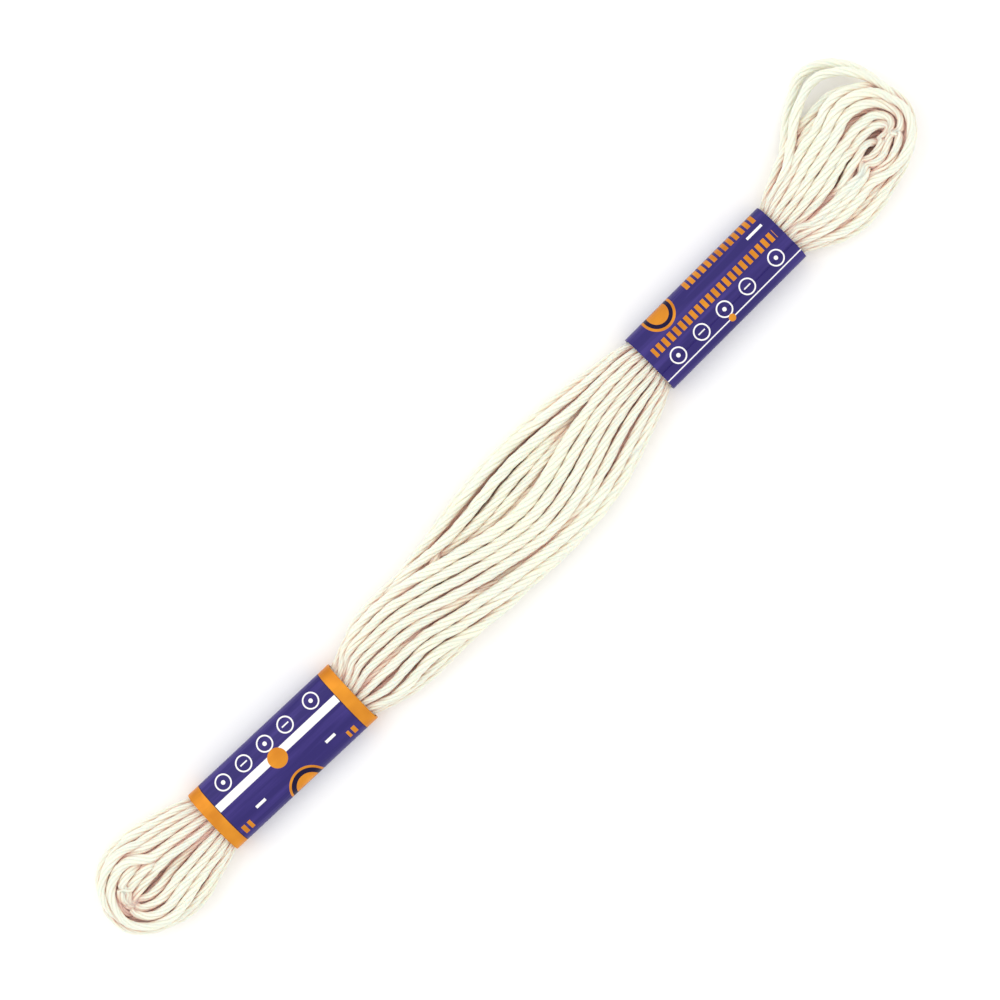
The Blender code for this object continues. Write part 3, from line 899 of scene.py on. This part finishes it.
def makeCotton():
    material, tree, shader = newMaterial("mercerised stranded cotton")
    along = addNode(tree, "ShaderNodeUVMap", {"uv_map": "along"})
    split = addNode(tree, "ShaderNodeSeparateXYZ", links={0: along.outputs[0]})
    hollow = addNode(tree, "ShaderNodeAttribute", {"attribute_name": "hollow"})

    # fibres run the length of a strand, so the noise is stretched along it
    sides = addNode(tree, "ShaderNodeMath", {"operation": "MULTIPLY", 1: 2.1 / cotton["fibre"]},
                    {0: split.outputs["Y"]})
    length = addNode(tree, "ShaderNodeMath", {"operation": "MULTIPLY", 1: 0.9}, {0: split.outputs["X"]})
    laid = addNode(tree, "ShaderNodeCombineXYZ", links={0: length.outputs[0], 1: sides.outputs[0]})
    fibres = addNode(tree, "ShaderNodeTexNoise", {"Scale": 1.0, "Detail": 3.0, "Roughness": 0.6},
                     {"Vector": laid.outputs[0]})

    # the two plies: a ridge that winds round the strand
    turn = addNode(tree, "ShaderNodeMath", {"operation": "MULTIPLY", 1: 1 / cotton["plyPitch"]},
                   {0: split.outputs["X"]})
    wind = addNode(tree, "ShaderNodeMath", {"operation": "ADD"}, {0: turn.outputs[0], 1: split.outputs["Y"]})
    phase = addNode(tree, "ShaderNodeMath", {"operation": "MULTIPLY", 1: 4 * math.pi}, {0: wind.outputs[0]})
    wave = addNode(tree, "ShaderNodeMath", {"operation": "SINE"}, {0: phase.outputs[0]})
    ply = addNode(tree, "ShaderNodeMath", {"operation": "MULTIPLY_ADD", 1: 0.35, 2: 0.5}, {0: wave.outputs[0]})
    relief = addNode(tree, "ShaderNodeMath", {"operation": "MULTIPLY_ADD", 1: 0.9},
                     {0: fibres.outputs["Fac"], 2: ply.outputs[0]})
    bump = addNode(tree, "ShaderNodeBump", {"Strength": 0.4, "Distance": 0.00006},
                   {"Height": relief.outputs[0]})

    # the yarn is a little paler in places
    place = addNode(tree, "ShaderNodeTexCoord")
    patches = addNode(tree, "ShaderNodeTexNoise", {"Scale": 160.0, "Detail": 2.0},
                      {"Vector": place.outputs["Object"]})
    body = addNode(tree, "ShaderNodeMix", {"data_type": "RGBA"})
    body.inputs[6].default_value = hexColour(cotton["light"])
    body.inputs[7].default_value = hexColour(cotton["pale"])
    tree.links.new(patches.outputs["Fac"], body.inputs[0])
    # painted shade: crowded places are tinted warmer, and the most crowded pink-beige, for the shade among the
    # turns
    paintedShadeRamp = addNode(tree, "ShaderNodeValToRGB", links={0: hollow.outputs["Fac"]})
    paintedShadeRamp.color_ramp.elements[0].color = (0, 0, 0, 1)
    paintedShadeRamp.color_ramp.elements[1].color = (1, 1, 1, 1)
    paintedShadeRamp.color_ramp.interpolation = "EASE"
    toPaintedShade = addNode(tree, "ShaderNodeMix", {"data_type": "RGBA"})
    tree.links.new(paintedShadeRamp.outputs["Color"], toPaintedShade.inputs[0])
    tree.links.new(body.outputs[2], toPaintedShade.inputs[6])
    toPaintedShade.inputs[7].default_value = hexColour(cotton["paintedShade"])
    deepShadeShare = addNode(tree, "ShaderNodeMath", {"operation": "POWER", 1: 3.0}, {0: hollow.outputs["Fac"]})
    toPaintedDeepShade = addNode(tree, "ShaderNodeMix", {"data_type": "RGBA"})
    tree.links.new(deepShadeShare.outputs[0], toPaintedDeepShade.inputs[0])
    tree.links.new(toPaintedShade.outputs[2], toPaintedDeepShade.inputs[6])
    toPaintedDeepShade.inputs[7].default_value = hexColour(cotton["paintedDeepShade"])

    tree.links.new(toPaintedDeepShade.outputs[2], shader.inputs["Base Color"])
    tree.links.new(bump.outputs[0], shader.inputs["Normal"])
    shader.inputs["Roughness"].default_value = 0.5
    shader.inputs["IOR"].default_value = 1.53
    shader.inputs["Specular IOR Level"].default_value = 0.35
    shader.inputs["Sheen Weight"].default_value = 0.25
    shader.inputs["Sheen Roughness"].default_value = 0.35
    shader.inputs["Subsurface Weight"].default_value = 0.5
    shader.inputs["Subsurface Radius"].default_value = (1.0, 0.65, 0.5)
    shader.inputs["Subsurface Scale"].default_value = 0.0009
    return material


strands, centreline = makeStrands(route, size)
markHollows(strands)
cottonMaterial = makeCotton()
for number, (obj, centre) in enumerate(strands):
    obj.data.materials.append(cottonMaterial)
    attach(obj, "root")
    own = np.linalg.norm(np.diff(centre, axis=0), axis=1).sum() * mm
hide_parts("floss-hank")
print(f"six strands of {own:.2f} m are laid, {len(centreline)} rings each")

# --- the paper labels ---

# Coated label paper, printed in violet and white with gold foil, wrapped round the hank. The
# coating gives it a soft gloss. All marks are plain ornament: bars, rings and discs.
label = {
    "violet": "#2B2068",
    # painted sheen: the lighter violet of the streaks along the label
    "sheen": "#55459A",
    "white": "#F7F5F2",
    "gold": "#F0A030",
    "goldDark": "#B8691A",
    "edgeLine": "#1A1238",
    "top": 3.6,  # marks are printed above this height in mm
}

# Places are millimetres from the middle of each label, along and across. Rings have a
# radius and a line, and bars have half sizes.
leftLabel = {
    "node": "label-band-left",
    "middle": (-48.0, -4.45),
    "yaw": -1.9,
    "half": 13.75,
    "goldEnds": 2.0,
    "whiteBars": [(0.0, 0.85, 11.8, 0.62), (-6.6, -2.7, 0.9, 0.22), (7.0, -2.7, 0.9, 0.22)],
    "whiteRings": [(-8.5, 3.15), (-4.5, 3.15), (-0.4, 3.15), (3.6, 3.15), (8.6, 3.15)],
    "goldDiscs": [(-0.4, 0.4, 1.5), (0.2, -6.0, 3.2)],
    "darkRings": [(0.2, -6.0, 2.5, 0.35)],
    "goldDashes": [(-10.3, -3.9, 0.9, 0.6), (10.0, -4.1, 0.9, 0.5)],
}
rightLabel = {
    "node": "label-band-right",
    "middle": (42.45, -1.8),
    "yaw": 0.0,
    "half": 13.4,
    "goldEnds": 0.0,
    "whiteBars": [(0.0, -3.72, 13.4, 0.09), (10.4, 2.75, 1.5, 0.2)],
    "whiteRings": [(-9.7, -2.05), (-5.0, -2.05), (-0.4, -2.05), (4.2, -2.05), (10.0, -2.05)],
    "goldDiscs": [(-7.6, 4.4, 2.7), (-0.4, -3.7, 0.55)],
    "darkRings": [(-7.6, 4.4, 2.0, 0.3)],
    "goldDashes": [(0.1, 0.55, 12.2, 0.72), (4.6, 4.35, 7.2, 0.65)],
}


def calc(tree, operation, *values):
    node = tree.nodes.new("ShaderNodeMath")
    node.operation = operation
    for i, value in enumerate(values):
        if isinstance(value, (int, float)):
            node.inputs[i].default_value = value
        else:
            tree.links.new(value, node.inputs[i])
    return node.outputs[0]


def bar(tree, u, v, cu, cv, halfU, halfV):
    return calc(tree, "MULTIPLY", calc(tree, "COMPARE", u, cu, halfU), calc(tree, "COMPARE", v, cv, halfV))


def awayFrom(tree, u, v, cu, cv):
    du = calc(tree, "SUBTRACT", u, cu)
    dv = calc(tree, "SUBTRACT", v, cv)
    return calc(tree, "SQRT", calc(tree, "ADD", calc(tree, "MULTIPLY", du, du), calc(tree, "MULTIPLY", dv, dv)))


def anyOf(tree, masks):
    total = masks[0]
    for mask in masks[1:]:
        total = calc(tree, "MAXIMUM", total, mask)
    return total


def mixed(tree, share, first, second):
    node = addNode(tree, "ShaderNodeMix", {"data_type": "RGBA"})
    tree.links.new(share, node.inputs[0])
    for i, value in ((6, first), (7, second)):
        if isinstance(value, str):
            node.inputs[i].default_value = hexColour(value)
        else:
            tree.links.new(value, node.inputs[i])
    return node.outputs[2]


def makeLabelPaper(own):
    material, tree, shader = newMaterial("coated label paper, " + own["node"])
    place = addNode(tree, "ShaderNodeTexCoord")
    x, y = own["middle"]
    local = addNode(tree, "ShaderNodeMapping", {"vector_type": "TEXTURE"}, {"Vector": place.outputs["Object"]})
    local.inputs["Location"].default_value = (x * mm, y * mm, 0)
    local.inputs["Rotation"].default_value = (0, 0, math.radians(own["yaw"]))
    local.inputs["Scale"].default_value = (mm, mm, mm)
    axes = addNode(tree, "ShaderNodeSeparateXYZ", links={0: local.outputs[0]})
    u, v, z = axes.outputs
    above = calc(tree, "GREATER_THAN", z, label["top"])

    # violet ink, with streaks of painted sheen along the label: lighter violet that stands in for the gloss
    # highlight
    streaks = addNode(tree, "ShaderNodeMapping", {"Scale": (0.05, 0.9, 0.9)}, {"Vector": local.outputs[0]})
    soft = addNode(tree, "ShaderNodeTexNoise", {"Scale": 1.0, "Detail": 3.0}, {"Vector": streaks.outputs[0]})
    paintedSheenShare = calc(tree, "MULTIPLY", calc(tree, "SUBTRACT", soft.outputs["Fac"], 0.45), 1.6)
    paintedSheenShare = calc(tree, "MINIMUM", calc(tree, "MAXIMUM", paintedSheenShare, 0.0), 1.0)
    colour = mixed(tree, paintedSheenShare, label["violet"], label["sheen"])

    whites = [bar(tree, u, v, *row) for row in own["whiteBars"]]
    for i, (cu, cv) in enumerate(own["whiteRings"]):
        away = awayFrom(tree, u, v, cu, cv)
        whites.append(calc(tree, "COMPARE", away, 1.15, 0.11))
        if i % 2:
            whites.append(bar(tree, u, v, cu, cv, 0.62, 0.10))
        else:
            whites.append(calc(tree, "LESS_THAN", away, 0.32))
    white = calc(tree, "MULTIPLY", anyOf(tree, whites), above)
    colour = mixed(tree, white, colour, label["white"])

    # gold foil: discs, rows of short bars, and the borders at the ends
    golds = [calc(tree, "LESS_THAN", awayFrom(tree, u, v, *row[:2]), row[2]) for row in own["goldDiscs"]]
    for row in own["goldDashes"]:
        dash = calc(tree, "LESS_THAN", calc(tree, "FRACT", calc(tree, "MULTIPLY", u, 0.9)), 0.62)
        golds.append(calc(tree, "MULTIPLY", dash, bar(tree, u, v, *row)))
    gold = calc(tree, "MULTIPLY", anyOf(tree, golds), above)
    fromEnd = calc(tree, "SUBTRACT", own["half"], calc(tree, "ABSOLUTE", u))
    if own["goldEnds"]:
        gold = calc(tree, "MAXIMUM", gold, calc(tree, "LESS_THAN", fromEnd, own["goldEnds"]))
        line = calc(tree, "COMPARE", fromEnd, own["goldEnds"], 0.12)
        colour = mixed(tree, line, colour, label["edgeLine"])
    shade = addNode(tree, "ShaderNodeTexNoise", {"Scale": 0.35, "Detail": 1.0}, {"Vector": local.outputs[0]})
    foil = mixed(tree, shade.outputs["Fac"], label["goldDark"], label["gold"])
    colour = mixed(tree, gold, colour, foil)
    for cu, cv, radius, line in own["darkRings"]:
        ring = calc(tree, "COMPARE", awayFrom(tree, u, v, cu, cv), radius, line)
        colour = mixed(tree, calc(tree, "MULTIPLY", ring, above), colour, label["edgeLine"])

    # paper grain under the coating
    grain = addNode(tree, "ShaderNodeTexNoise", {"Scale": 3.0, "Detail": 4.0}, {"Vector": local.outputs[0]})
    bump = addNode(tree, "ShaderNodeBump", {"Strength": 0.15, "Distance": 0.00003},
                   {"Height": grain.outputs["Fac"]})
    tree.links.new(colour, shader.inputs["Base Color"])
    tree.links.new(calc(tree, "MULTIPLY", gold, 0.55), shader.inputs["Metallic"])
    tree.links.new(bump.outputs[0], shader.inputs["Normal"])
    shader.inputs["Roughness"].default_value = 0.42
    shader.inputs["Specular IOR Level"].default_value = 0.25
    return material


for own in (leftLabel, rightLabel):
    band = bpy.data.objects[own["node"]]
    band.data.materials.clear()
    band.data.materials.append(makeLabelPaper(own))
print("the labels are printed")
